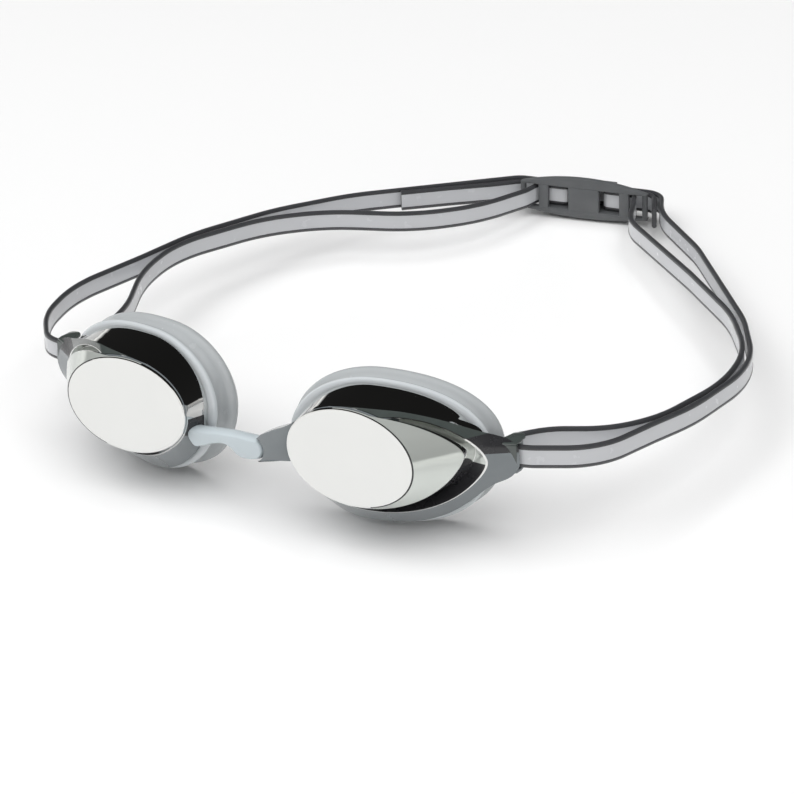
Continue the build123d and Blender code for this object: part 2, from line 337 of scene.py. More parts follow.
def inset_ring(ring, inwards, deeper):
    """A ring moved inwards, by one distance or one for each spoke, and deeper behind the pane."""
    flat = inset_outline(ring[:, (0, 2)], inwards)
    return np.stack((flat[:, 0], ring[:, 1] + deeper, flat[:, 1]), axis=1)


def teardrop_ring(share, scale, reach, depth):
    """A wall ring drawn out over the temple into a teardrop, deeper towards its tip."""
    ring = wall_ring(share)
    drawn = (scale - 1)[:, None] * (pane_ring(1.0, 0.0) - np.array((EYE_X, 0, 0)))
    drawn[:, 1] = depth * (scale - 1) / (reach - 1)
    return ring + drawn


def crisp(rings, slots, near=0.08, far=0.35):
    """The same skin with two extra rings on each side of every edge, so that the edges stay narrow."""
    result = [rings[0]]
    numbers = []
    for before, ring, after, slot_before, slot_after in zip(rings, rings[1:], rings[2:], slots, slots[1:]):
        for other, distances in ((before, (far, near)), (after, (near, far))):
            gap = np.maximum(np.linalg.norm(other - ring, axis=1), 1e-6)
            for distance in distances:
                share = np.minimum(distance / gap, 0.35 * distance / far)
                result.append(mix_rings(ring, other, share))
        numbers += [slot_before, slot_before, slot_before, slot_after]
    result.append(rings[-1])
    numbers.append(slots[-1])
    return result, numbers


# ---------------------------------------------------------------- strap plane and clip frame


def in_strap_plane(plan, height):
    """Points of the strap plane, from (x, y) in the plane seen from above and a height across it."""
    plan = np.asarray(plan, float)
    height = height + 0 * plan[:, 0]
    along = plan[:, 1] - WING_LOOP_Y
    y = WING_LOOP_Y + along * math.cos(STRAP_SLOPE) - height * math.sin(STRAP_SLOPE)
    z = WING_LOOP_Z + along * math.sin(STRAP_SLOPE) + height * math.cos(STRAP_SLOPE)
    return np.stack((plan[:, 0], y, z), axis=1)


def clip_plan(points):
    """Plan points given along and through the clip, turned and moved to where the clip is."""
    points = np.asarray(points, float)
    x = CLIP_X + points[:, 0] * math.cos(CLIP_TURN) - points[:, 1] * math.sin(CLIP_TURN)
    y = HEAD_LENGTH + points[:, 0] * math.sin(CLIP_TURN) + points[:, 1] * math.cos(CLIP_TURN)
    return np.stack((x, y), axis=1)


def in_clip(points):
    """Working-frame points from (along, through, up) in the clip's own frame."""
    points = np.asarray(points, float)
    return in_strap_plane(clip_plan(points[:, :2]), points[:, 2])


# ---------------------------------------------------------------- lens

MIRROR, GREY, SMOKE, BEVEL_AND_PAINTED_SHADE, SATIN_PAINTED_REFLECTION, PAINTED_DARK_REFLECTION = 0, 1, 2, 3, 4, 5
WING_START, WING_FADE = 22.0, 16.0
LEDGE_FALL = 2.5

# The two teardrops beside the pane: which way the tip points, how many times the pane's half width away from its
# centre it is, and how deep it lies
FACET_TIP = 9.8
FACET_REACH = 1.432
FACET_DEPTH = 9.7
LEDGE_TIP = -1.0
LEDGE_REACH = 1.56
LEDGE_DEPTH = 14.0

# The bracket's heights across the strap plane, and the lug's notch and thickness
CHEEK_INSIDE = 3.3
UPPER_CHEEK_TOP = 4.0
LOWER_CHEEK_BOTTOM = -4.1
PLATE_TOP = 3.5
BAR_HALF_LENGTH = 3.8
NOTCH_CENTRE = (3.5, -4.9)
NOTCH_RADIUS = 3.2
LUG_FRONT = 2.3
LUG_BACK = 6.7
SLEEVED_LUG_FRONT = 3.6
SLEEVED_LUG_BACK = 5.4


def lens_rings():
    """The rings of one lens from the pane outwards and round to the inside, with each gap's materials."""
    degrees = np.degrees(np.angle(np.exp(1j * ANGLES)))
    block_scale = teardrop_scale(FACET_TIP, FACET_REACH, 60, 1.4, 110, 1.95)
    ledge_scale = teardrop_scale(LEDGE_TIP, LEDGE_REACH, 62, 0.9, 130, 1.4)
    block = teardrop_ring(0.03, block_scale, FACET_REACH, FACET_DEPTH)
    ledge = teardrop_ring(0.08, ledge_scale, LEDGE_REACH, LEDGE_DEPTH)
    stand = np.clip((ledge_scale - block_scale) / 0.12, 0, 1)
    groove = mix_rings(block, ledge, 0.1)
    sunk = ledge[:, 1] + LEDGE_FALL * stand
    deepest = CUP_DEPTH + (groove[:, 0] - EYE_X) * math.tan(RIM_WRAP) - 1.9
    groove[:, 1] = np.where(stand > 0, np.maximum(groove[:, 1], np.minimum(sunk, deepest)), groove[:, 1])
    edge = front_edge()
    rim = rim_ring(0, 0)
    wing = smooth_step(degrees, -WING_START - WING_FADE, -WING_START)
    wing = wing * (1 - smooth_step(degrees, WING_START, WING_START + WING_FADE))
    behind = mix_rings(mix_rings(edge, rim, 0.25), inset_ring(edge, 1.2, 0.6), wing)
    beside_seal = mix_rings(mix_rings(edge, rim, 0.6), rim_ring(1.8, -0.5), wing)
    shoulder = mix_rings(mix_rings(edge, rim, 0.85), rim_ring(0.4, -0.6), wing)
    inside_step = inset_ring(groove, 1.5 * np.clip(stand + 0.8, 0, 1)[:, None], 0.8)
    temple_side = (degrees < 55) & (degrees > -70)
    lower = (degrees < 6) & (degrees > -160)
    outline = np.where(temple_side, BEVEL_AND_PAINTED_SHADE, MIRROR)
    # The teardrop facet, from -70 to 105 degrees, takes the light green-grey painted reflection instead of the
    # mirror coat.
    facet = np.where((degrees > -70) & (degrees < 105), SATIN_PAINTED_REFLECTION, MIRROR)
    # On the lower side the channel round the facet is painted shade, in the near-black material.
    shaded = (degrees < -3) & (degrees > -120)
    channel_side = np.where(shaded, BEVEL_AND_PAINTED_SHADE, MIRROR)
    channel_floor = np.where(shaded, BEVEL_AND_PAINTED_SHADE, np.where(temple_side, SATIN_PAINTED_REFLECTION, GREY))
    # The outer facet's upper side, from 20 to 100 degrees, takes the deep green-grey painted dark reflection in
    # place of the mirror coat; its lower side is the plain grey plastic.
    outer_facet = np.where(lower, GREY, np.where(degrees < 20, BEVEL_AND_PAINTED_SHADE, np.where(degrees < 100, PAINTED_DARK_REFLECTION, MIRROR)))
    # From 6 to 20 degrees the wing's end, here and on the outer facet, is painted dark reflection in the
    # near-black material; lower down it is the plain grey plastic.
    band = np.where(lower, GREY, np.where((degrees > 0) & (degrees < 20), BEVEL_AND_PAINTED_SHADE, MIRROR))
    rings = [
        pane_ring(0.9, 0.0),
        pane_ring(0.978, 0.0),
        pane_ring(0.999, 0.12),
        block,
        groove,
        ledge,
        mix_rings(ledge, edge, 0.06),
        edge,
        behind,
        beside_seal,
        shoulder,
        rim,
        rim_ring(-WALL, 0),
        inside_step,
        pane_ring(0.93, 1.5),
    ]
    front = [MIRROR, outline, facet, channel_side, channel_floor, MIRROR, outer_facet]
    return crisp(rings, front + [band] * 4 + [GREY, SMOKE, SMOKE])


def lens_shape(lug):
    """The wearer's left lens: cup, teardrop facets and wing, the strap bracket behind it and its nose lug."""
    shape = Shape()
    rings, numbers = lens_rings()
    loft(shape, rings, numbers, close_start=MIRROR, close_end=SMOKE)
    add_bracket(shape)
    lug(shape)
    return shape


def arc(centre, radius, start, end, steps):
    """Plan points round part of a circle, in degrees."""
    points = []
    for step in range(steps + 1):
        angle = math.radians(start + (end - start) * step / steps)
        points.append((centre[0] + radius * math.cos(angle), centre[1] + radius * math.sin(angle)))
    return points


def add_bracket(shape):
    """What holds the strap behind the wing: a front plate, two cheeks and the round bar between them."""
    bar = (WING_LOOP_X, WING_LOOP_Y)
    plate = [(62.6, 17.4), (66.0, 18.3), (68.3, 19.1), (68.2, 19.8), (66.6, 19.9), (64.0, 19.2), (62.8, 18.2)]
    # The front plate and upper cheek take the deep green-grey painted dark reflection; the lower cheek and the
    # bar are the plain grey plastic.
    slab(shape, plate, -CHEEK_INSIDE, PLATE_TOP, in_strap_plane, PAINTED_DARK_REFLECTION, 0.2)
    cheek = [(62.6, 17.4), (66.0, 18.3), (68.2, 19.4), (68.4, 21.2)]
    cheek += arc(bar, 1.9, -15, 180, 12) + [(63.4, 20.4)]
    slab(shape, cheek, CHEEK_INSIDE, UPPER_CHEEK_TOP, in_strap_plane, PAINTED_DARK_REFLECTION, 0.25)
    slab(shape, cheek, LOWER_CHEEK_BOTTOM, -CHEEK_INSIDE, in_strap_plane, GREY, 0.25)
    slab(shape, arc(bar, BAR_RADIUS, 0, 345, 23), -BAR_HALF_LENGTH, BAR_HALF_LENGTH, in_strap_plane, GREY, 0.1)


def facing(flat, depth):
    """Points of a plate that faces forwards, from (across, up) and a depth."""
    return np.stack((flat[:, 0], depth + 0 * flat[:, 0], flat[:, 1]), axis=1)


def add_open_lug(shape):
    """The lug towards the nose: an arm that rises into the cup and ends in a round notch."""
    notch = arc(NOTCH_CENTRE, NOTCH_RADIUS, 72, -62, 18)
    outline = [(8.7, -7.0), (11.6, -6.2), (15.6, -5.4), (15.6, 4.9), (13.9, 3.8), (11.7, 2.4), (8.8, 1.1)]
    outline += [(5.8, -0.5)] + notch + [(5.8, -7.7)]
    slab(shape, outline, LUG_FRONT, LUG_BACK, facing, GREY, 0.25)


def add_sleeved_lug(shape):
    """The lug that the nosepiece's sleeve covers: a plain narrow arm."""
    outline = [(8.0, -5.2), (15.8, -6.6), (15.8, -3.9), (8.0, -3.3)]
    slab(shape, outline, SLEEVED_LUG_FRONT, SLEEVED_LUG_BACK, facing, GREY, 0.25)


# ---------------------------------------------------------------- eye seal

# The seal's section, as (growth from the lens rim, distance behind it): flange, waist, rolled lip, inner wall
SEAL_SECTION = [
    (-0.6, 0.1), (0.4, 0.05), (1.6, 0.1), (2.2, 0.4), (2.3, 1.0), (2.0, 1.6), (1.0, 2.1),
    (0.0, 2.7), (-0.2, 3.7), (0.2, 4.6), (1.4, 5.2), (2.7, 5.6), (3.3, 6.3), (3.3, 7.2),
    (2.6, 8.0), (1.2, 8.4), (-0.6, 8.2), (-1.8, 7.0), (-2.3, 5.0), (-2.4, 2.0), (-2.0, 0.3),
]
FLANGE_HIGHLIGHT_GAPS = 5


def seal_shape():
    """The wearer's left eye seal, its section carried round the rim; its flange takes the second, lighter
    material, a painted highlight.
    """
    shape = Shape()
    rings = [rim_ring(growth, behind) for growth, behind in SEAL_SECTION]
    slots = [1 if gap < FLANGE_HIGHLIGHT_GAPS else 0 for gap in range(len(rings))]
    loft(shape, rings, slots, loop=True)
    return shape


# ---------------------------------------------------------------- nosepiece

NOSEPIECE_HALF_DEPTH = 2.3
NOSEPIECE_ROUNDING = 0.9


def bridge_shape():
    """The soft nosepiece: a sleeve over one lens's lug, an arched neck and a round end in the other's notch."""
    top = [(-15.9, -3.3), (-13.6, -3.0), (-11.4, -2.9), (-7.7, -2.5), (-4.7, -2.2), (-1.7, -2.1), (1.2, -2.1)]
    end = arc(NOTCH_CENTRE, NOTCH_RADIUS - 0.3, 72, -72, 14)
    under = [(2.4, -8.1), (0.1, -8.2), (-1.8, -7.5), (-3.3, -6.3), (-5.5, -5.7), (-8.5, -6.3), (-11.5, -7.5)]
    sleeve_end = [(-13.8, -8.1), (-15.3, -7.1), (-16.3, -5.3)]
    outline = resample(top + end + under + sleeve_end, 0.35)[::-1]
    shape = Shape()
    levels = []
    for across in np.linspace(-90, 90, 17):
        bulge = math.sin(math.radians(across))
        inset = NOSEPIECE_ROUNDING * (1 - math.cos(math.radians(across)))
        flat = inset_outline(outline, inset)
        levels.append(facing(flat, HINGE_Y + NOSEPIECE_HALF_DEPTH * bulge))
    loft(shape, levels, 0, close_start=0, close_end=0)
    return shape


def resample(points, step):
    """A closed smooth outline through these plane points, with even spacing."""
    points = np.asarray(points, float)
    fine = []
    count = len(points)
    for i in range(count):
        p0, p1, p2, p3 = (points[(i + k) % count] for k in (-1, 0, 1, 2))
        for t in np.linspace(0, 1, 12, endpoint=False):
            fine.append(0.5 * (2 * p1 + (p2 - p0) * t + (2 * p0 - 5 * p1 + 4 * p2 - p3) * t**2
                               + (3 * p1 - p0 - 3 * p2 + p3) * t**3))
    fine = np.array(fine + [fine[0]])
    run = np.concatenate(([0], np.cumsum(np.linalg.norm(np.diff(fine, axis=0), axis=1))))
    places = np.linspace(0, run[-1], int(run[-1] / step), endpoint=False)
    return np.stack((np.interp(places, run, fine[:, 0]), np.interp(places, run, fine[:, 1])), axis=1)


# ---------------------------------------------------------------- strap

STRIPE, BORDER = 0, 1

# Where each strand bends, seen from above, as (outwards, back)
LOOP_FRONT_Y = WING_LOOP_Y - LOOP_RADIUS
LEFT_OUTER = [(28.8, 170.7), (49.8, 151.8), (82.4, 113.6), (97, 89.7), (94.6, 60.6), (90.5, 47.6)]
LEFT_OUTER += [(85.4, 29.3), (69.4, LOOP_FRONT_Y)]
LEFT_INNER = [(69.3, 33.1), (82.4, 39.9), (90, 51.2), (94.9, 76.4), (91.2, 96.5), (77.7, 115.7)]
LEFT_INNER += [(56, 135.1), (23.4, 161.8)]
RIGHT_OUTER = [(56.4, 142.8), (69.8, 123.2), (80.1, 97.9), (83.4, 76.7), (88.1, 52.6), (83.2, 33.6)]
RIGHT_OUTER += [(73.1, LOOP_FRONT_Y)]
RIGHT_INNER = [(65.7, 45.7), (77.5, 69.8), (80.2, 89.9), (68.9, 116.5), (55.7, 129.2), (32.6, 138.1)]
RIGHT_INNER += [(19.5, 151.8)]
LEFT_TAIL_END = (26.5, 171)
RIGHT_TAIL = [(24.3, 168.2), (33.9, 160.2)]
RIGHT_TAIL_END = (44.4, 150.9)
EASY_BEND = 60.0
STRAP_SPLIT_Y = 96.0

# Where the strap runs inside the clip, in the clip's own frame
CLIP_TURN_X = 21.5
SLOT_X = 14.6
SLOT_EXIT = (16.2, -3.2)
OUTER_STRAND_Y = 6.35
INNER_LEG_Y = 2.5
TAIL_LEG_Y = 4.6
FOLD_X = 5.7


def rounded(corners, step=0.8):
    """Even points along straight runs and arcs, from (x, y, radius) corners."""
    places = np.array([corner[:2] for corner in corners], float)
    line = [places[0]]
    for i in range(1, len(corners) - 1):
        arriving = places[i] - places[i - 1]
        leaving = places[i + 1] - places[i]
        shorter = min(np.linalg.norm(arriving), np.linalg.norm(leaving))
        arriving /= np.linalg.norm(arriving)
        leaving /= np.linalg.norm(leaving)
        turn = math.atan2(arriving[0] * leaving[1] - arriving[1] * leaving[0], float(arriving @ leaving))
        radius = min(corners[i][2], 0.47 * shorter / math.tan(abs(turn) / 2))
        start = places[i] - arriving * radius * math.tan(abs(turn) / 2)
        side = np.array((-arriving[1], arriving[0])) * math.copysign(radius, turn)
        centre = start + side
        steps = max(4, int(abs(turn) * radius / 0.3))
        for share in np.linspace(0, turn, steps + 1):
            cosine, sine = math.cos(share), math.sin(share)
            turned = (-side[0] * cosine + side[1] * sine, -side[0] * sine - side[1] * cosine)
            line.append(centre + np.array(turned))
    line.append(places[-1])
    line = np.array(line)
    run = np.concatenate(([0], np.cumsum(np.linalg.norm(np.diff(line, axis=0), axis=1))))
    even = np.linspace(0, run[-1], int(run[-1] / step) + 1)
    return np.stack((np.interp(even, run, line[:, 0]), np.interp(even, run, line[:, 1])), axis=1)


def clip_corner(x, y, radius):
    """A corner given in the clip's own frame."""
    plan = clip_plan([(x, y)])[0]
    return (plan[0], plan[1], radius)


def half_strap(side, outer, inner, tail):
    """One side of the strap from above: from the clip's middle, round the wing's bar and back through."""
    corners = [clip_corner(0, OUTER_STRAND_Y, 0), clip_corner(side * CLIP_TURN_X, OUTER_STRAND_Y, 6)]
    corners += [(side * x, y, EASY_BEND) for x, y in outer]
    loop_x = side * (WING_LOOP_X - LOOP_RADIUS)
    corners.append((loop_x, LOOP_FRONT_Y, LOOP_RADIUS))
    corners.append((loop_x, WING_LOOP_Y + LOOP_RADIUS, LOOP_RADIUS))
    corners += [(side * x, y, EASY_BEND) for x, y in inner]
    corners.append(clip_corner(side * SLOT_EXIT[0], SLOT_EXIT[1], 4))
    corners.append(clip_corner(side * SLOT_X, INNER_LEG_Y, 1.7))
    corners.append(clip_corner(side * FOLD_X, INNER_LEG_Y, 1.0))
    corners.append(clip_corner(side * FOLD_X, TAIL_LEG_Y, 1.0))
    return rounded(corners + tail)


def band_section():
    """The band's section as (height, thickness, material of the edge that follows)."""
    half_width = STRAP_WIDTH / 2
    half_thick = STRAP_THICKNESS / 2
    sunk = half_thick - 0.09
    face = [
        (-half_width, 0.0, BORDER),
        (-half_width + 0.08, 0.3, BORDER),
        (-half_width + 0.3, 0.55, BORDER),
        (-half_width + 0.65, half_thick, BORDER),
        (-2.0, half_thick, BORDER),
        (-1.9, sunk, STRIPE),
        (-0.7, half_thick - 0.06, STRIPE),
        (0.7, half_thick - 0.06, STRIPE),
        (1.9, sunk, BORDER),
        (2.0, half_thick, BORDER),
        (half_width - 0.65, half_thick, BORDER),
        (half_width - 0.3, 0.55, BORDER),
        (half_width - 0.08, 0.3, BORDER),
    ]
    back = [(-height, -thick) for height, thick, number in face]
    points = [(height, thick) for height, thick, number in face] + back
    numbers = [number for height, thick, number in face] * 2
    return points, numbers


def add_band(shape, line):
    """A length of strap standing on edge along a plan line."""
    section, numbers = band_section()
    along = np.gradient(line, axis=0)
    along /= np.linalg.norm(along, axis=1, keepdims=True)
    across = np.stack((-along[:, 1], along[:, 0]), axis=1)
    strands = [in_strap_plane(line + across * thick, height) for height, thick in section]
    count = len(section)
    points = np.stack(strands, axis=1).reshape(-1, 3)
    faces = []
    slots = []
    for i in range(len(line) - 1):
        for j in range(count):
            k = (j + 1) % count
            faces.append((i * count + j, i * count + k, (i + 1) * count + k, (i + 1) * count + j))
            slots.append(numbers[j])
    last = (len(line) - 1) * count
    faces.append(tuple(range(count))[::-1])
    faces.append(tuple(range(last, last + count)))
    shape.add(points, faces, slots + [BORDER, BORDER])


def strap_shapes():
    """The strap in three pieces that meet end to end: round each wing's bar, and everything behind."""
    left_tail = [clip_corner(19.8, TAIL_LEG_Y, 4), (*LEFT_TAIL_END, 0)]
    right_tail = [clip_corner(-18.2, TAIL_LEG_Y, 4)] + [(-x, y, EASY_BEND) for x, y in RIGHT_TAIL]
    right_tail.append((-RIGHT_TAIL_END[0], RIGHT_TAIL_END[1], 0))
    left = half_strap(1, LEFT_OUTER, LEFT_INNER, left_tail)
    right = half_strap(-1, RIGHT_OUTER, RIGHT_INNER, right_tail)
    fronts = []
    rear = Shape()
    starts = []
    for line in (left, right):
        ahead = np.nonzero(line[:, 1] < STRAP_SPLIT_Y)[0]
        front = Shape()
        add_band(front, line[ahead[0]:ahead[-1] + 1])
        fronts.append(front)
        starts.append(line[:ahead[0] + 1])
        add_band(rear, line[ahead[-1]:])
    add_band(rear, np.concatenate((starts[0][::-1], starts[1][1:])))
    return fronts[0], fronts[1], rear


# ---------------------------------------------------------------- rear clip

CLIP_HALF_LENGTH = 19.0
CLIP_STEPS = 41
OPENING_HALF_HEIGHT = 3.3
UPRIGHT_HALF_HEIGHT = 3.8
TUNNEL_HALF_HEIGHT = 3.6
TUNNEL_INSIDE = 3.2
TUNNEL_REACH = 7.5
FLOOR_REACH = 12.5


def clip_slab(shape, outline, front, back, edge=0.3):
    """A plate of the clip: an outline of (along, up) points between two depths."""

    def place(flat, depth):
        return in_clip(np.stack((flat[:, 0], depth + 0 * flat[:, 0], flat[:, 1]), axis=1))

    slab(shape, outline, front, back, place, 0, edge)


def upright_box(left, right, low, high):
    """The corners of an upright rectangle, as (along, up) points."""
    return [(left, low), (right, low), (right, high), (left, high)]


def clip_shape():
    """The clip: a bowed front plate with windows and slots, and a low tunnel behind its middle."""
    shape = Shape()
    along = np.linspace(-CLIP_HALF_LENGTH, CLIP_HALF_LENGTH, CLIP_STEPS)
    bow = 1 - (along / CLIP_HALF_LENGTH) ** 2
    opening = np.full(CLIP_STEPS, OPENING_HALF_HEIGHT)
    top = np.stack((along, 3.8 + 2.6 * bow), axis=1)
    bottom = np.stack((along, -4.0 - 1.6 * bow), axis=1)
    upper_rail = np.concatenate((np.stack((along, opening), 1), top[::-1]))
    lower_rail = np.concatenate((bottom, np.stack((along, -opening), 1)[::-1]))
    for rail in (upper_rail, lower_rail):
        clip_slab(shape, rail, 0.0, CLIP_FRONT)
    uprights = ((-CLIP_HALF_LENGTH, -17.6), (-13.6, -10.7), (-4.6, 4.6), (10.7, 13.6), (17.6, CLIP_HALF_LENGTH))
    for low, high in uprights:
        upright = upright_box(low, high, -UPRIGHT_HALF_HEIGHT, UPRIGHT_HALF_HEIGHT)
        clip_slab(shape, upright, 0.06, FRONT_PLATE, 0.22)
    roof = upright_box(-TUNNEL_REACH, TUNNEL_REACH, TUNNEL_INSIDE, TUNNEL_HALF_HEIGHT)
    floor = upright_box(-FLOOR_REACH, FLOOR_REACH, -TUNNEL_HALF_HEIGHT, -TUNNEL_INSIDE)
    for wall in (roof, floor):
        clip_slab(shape, wall, FRONT_PLATE - 0.3, TUNNEL_BACK + 0.4, 0.15)
    back = upright_box(-TUNNEL_REACH, TUNNEL_REACH, -TUNNEL_HALF_HEIGHT, TUNNEL_HALF_HEIGHT)
    clip_slab(shape, back, TUNNEL_BACK, TUNNEL_BACK + REAR_PLATE - 0.06, 0.5)
    return shape


# ---------------------------------------------------------------- materials


class Paint:
    """A node material under construction: short calls that add and join nodes."""

    def __init__(self, name):
        self.material = bpy.data.materials.new(name)
        self.material.use_nodes = True
        self.nodes = self.material.node_tree.nodes
        self.links = self.material.node_tree.links
        self.surface = self.nodes["Principled BSDF"]
        self.place = self.nodes.new("ShaderNodeTexCoord").outputs["Object"]

    def noise(self, scale, detail=3.0, roughness=0.55):
        """Noise over the piece, with this many features per metre."""
        node = self.nodes.new("ShaderNodeTexNoise")
        node.inputs["Scale"].default_value = scale
        node.inputs["Detail"].default_value = detail
        node.inputs["Roughness"].default_value = roughness
        self.links.new(self.place, node.inputs["Vector"])
        return node.outputs["Fac"]

    def spread(self, value, low, high):
        """A 0 to 1 value spread between low and high."""
        node = self.nodes.new("ShaderNodeMapRange")
        node.inputs["From Min"].default_value = 0.3
        node.inputs["From Max"].default_value = 0.7
        node.inputs["To Min"].default_value = low
        node.inputs["To Max"].default_value = high
        self.links.new(value, node.inputs["Value"])
        return node.outputs["Result"]

    def tint(self, value, first, second):
        """A colour between two, by a value."""
        node = self.nodes.new("ShaderNodeMix")
        node.data_type = "RGBA"
        node.inputs["A"].default_value = (*first, 1)
        node.inputs["B"].default_value = (*second, 1)
        self.links.new(value, node.inputs["Factor"])
        return node.outputs["Result"]

    def bump(self, value, strength, height):
        """Surface relief from a value; height in metres."""
        node = self.nodes.new("ShaderNodeBump")
        node.inputs["Strength"].default_value = strength
        node.inputs["Distance"].default_value = height
        self.links.new(value, node.inputs["Height"])
        self.links.new(node.outputs["Normal"], self.surface.inputs["Normal"])

    def set(self, name, value):
        """Sets or links one input of the surface."""
        if isinstance(value, bpy.types.NodeSocket):
            self.links.new(value, self.surface.inputs[name])
        elif isinstance(value, tuple):
            self.surface.inputs[name].default_value = (*value, 1)
        else:
            self.surface.inputs[name].default_value = value


def mirror_coat():
    """The silver mirror coating of the lenses, with faint smears."""
    paint = Paint("mirror_coat")
    paint.set("Base Color", paint.tint(paint.noise(90), (0.79, 0.795, 0.78), (0.755, 0.76, 0.75)))
    paint.set("Metallic", 1.0)
    paint.set("Roughness", paint.spread(paint.noise(160, 4.0), 0.02, 0.06))
    paint.bump(paint.noise(60, 1.0), 0.05, 0.0002)
    return paint.material


def grey_polycarbonate():
    """The uncoated smoke-grey plastic of the rim, wing end and nose lug."""
    paint = Paint("grey_polycarbonate")
    paint.set("Base Color", paint.tint(paint.noise(120), (0.145, 0.165, 0.175), (0.18, 0.20, 0.21)))
    paint.set("Roughness", paint.spread(paint.noise(240, 4.0), 0.12, 0.24))
    paint.set("Coat Weight", 0.6)
    paint.set("Coat Roughness", 0.06)
    paint.bump(paint.noise(900, 3.0), 0.12, 0.00005)
    return paint.material


def satin_painted_reflection():
    """The teardrop facet beside the pane and the channel floor at the temple: the same coating, a little
    rougher, made less metallic and a light green-grey as a painted reflection.
    """
    paint = Paint("satin_painted_reflection")
    paint.set("Base Color", paint.tint(paint.noise(90), (0.66, 0.69, 0.655), (0.60, 0.63, 0.60)))
    paint.set("Metallic", 0.45)
    paint.set("Roughness", paint.spread(paint.noise(160, 4.0), 0.06, 0.12))
    paint.bump(paint.noise(60, 1.0), 0.05, 0.0002)
    return paint.material


def painted_dark_reflection():
    """Painted dark reflection: a deep green-grey gloss on the wing's upper facet, the bracket's front plate and
    its upper cheek, where the mirror and plastic would reflect the dark above.
    """
    paint = Paint("painted_dark_reflection")
    paint.set("Base Color", paint.tint(paint.noise(120), (0.05, 0.06, 0.057), (0.07, 0.082, 0.078)))
    paint.set("Roughness", paint.spread(paint.noise(240, 4.0), 0.1, 0.2))
    paint.set("Coat Weight", 0.6)
    paint.set("Coat Roughness", 0.05)
    paint.bump(paint.noise(900, 3.0), 0.1, 0.00004)
    return paint.material


def bevel_and_painted_shade():
    """Near-black gloss: the bevel round the temple side of the pane, painted shade in the channel on the lower
    side and painted dark reflection at the wing's blunt end.
    """
    paint = Paint("bevel_and_painted_shade")
    paint.set("Base Color", paint.tint(paint.noise(150), (0.02, 0.02, 0.022), (0.035, 0.035, 0.038)))
    paint.set("Roughness", paint.spread(paint.noise(300, 4.0), 0.2, 0.35))
    paint.bump(paint.noise(900, 2.0), 0.1, 0.00003)
    return paint.material


def smoke_inside():
    """The tinted inner face of the lenses."""
    paint = Paint("smoke_inside")
    paint.set("Base Color", paint.tint(paint.noise(80), (0.05, 0.06, 0.065), (0.07, 0.08, 0.085)))
    paint.set("Roughness", paint.spread(paint.noise(200, 4.0), 0.06, 0.14))
    paint.set("Coat Weight", 0.5)
    paint.bump(paint.noise(500, 2.0), 0.05, 0.00005)
    return paint.material


def silicone(name, first, second, roughness, skin):
    """Milky silicone with a soft sheen; skin is how strong its fine grain is."""
    paint = Paint(name)
    paint.set("Base Color", paint.tint(paint.noise(25, 2.0), first, second))
    paint.set("Roughness", paint.spread(paint.noise(300, 4.0), roughness, roughness + 0.06))
    paint.set("Subsurface Weight", 0.2)
    paint.surface.inputs["Subsurface Radius"].default_value = (1.0, 1.0, 1.0)
    paint.set("Subsurface Scale", 0.0008)
    paint.set("Coat Weight", 0.25)
    paint.set("Coat Roughness", 0.2)
    paint.bump(paint.noise(1400, 3.0), skin, 0.00006)
    return paint.material


def clip_plastic():
    """The charcoal plastic of the clip, with a fine moulded grain and slightly rubbed."""
    paint = Paint("clip_plastic")
    paint.set("Base Color", paint.tint(paint.noise(200, 5.0), (0.085, 0.09, 0.094), (0.125, 0.13, 0.135)))
    paint.set("Roughness", paint.spread(paint.noise(400, 4.0), 0.3, 0.46))
    paint.bump(paint.noise(2500, 2.0), 0.2, 0.00005)
    return paint.material


def studio_floor():
    """The plain pale floor, very slightly glossy."""
    paint = Paint("studio_floor")
    paint.set("Base Color", paint.tint(paint.noise(3), (0.96, 0.96, 0.96), (0.97, 0.97, 0.97)))
    paint.set("Roughness", paint.spread(paint.noise(5), 0.16, 0.18))
    paint.set("Specular IOR Level", 0.5)
    return paint.material


# ---------------------------------------------------------------- pieces


def working_point(x, y, z):
    """One working-frame point in the row frame."""
    return tuple(to_row([(x, y, z)])[0])


def place_eyepieces():
    """Lenses and seals, on the bodies that turn at the nose."""
    lens_materials = [mirror_coat(), grey_polycarbonate(), smoke_inside(), bevel_and_painted_shade(), satin_painted_reflection()]
    lens_materials.append(painted_dark_reflection())
    lip = silicone("seal_silicone", (0.42, 0.44, 0.45), (0.45, 0.47, 0.48), 0.22, 0.1)
    # The flange is the same silicone made lighter: a painted highlight along the seal's front edge.
    flange = silicone("flange_painted_highlight", (0.56, 0.59, 0.61), (0.60, 0.63, 0.65), 0.15, 0.06)
    seal = seal_shape()
    left = ("left", lens_shape(add_open_lug), seal)
    right = ("right", lens_shape(add_sleeved_lug).mirrored(), seal.mirrored())
    for side, lens_part, seal_part in (left, right):
        piece = lens_part.make(f"{side}_lens_moulding", lens_materials)
        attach(piece, f"{side}_eyepiece")
        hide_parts(f"{side}_lens")
        piece = seal_part.make(f"{side}_eye_seal", [lip, flange], 60)
        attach(piece, f"{side}_eyepiece")
        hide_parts(f"{side}_gasket")


def place_bridge():
    """The nosepiece, baked where it stands: its sleeve covers the right lens's lug, its round end sits in the
    left one's notch.
    """
    material = silicone("bridge_silicone", (0.50, 0.56, 0.59), (0.56, 0.62, 0.65), 0.2, 0.12)
    piece = bridge_shape().make("nosepiece", [material], 50)
    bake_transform(piece)
    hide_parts("nose_bridge")


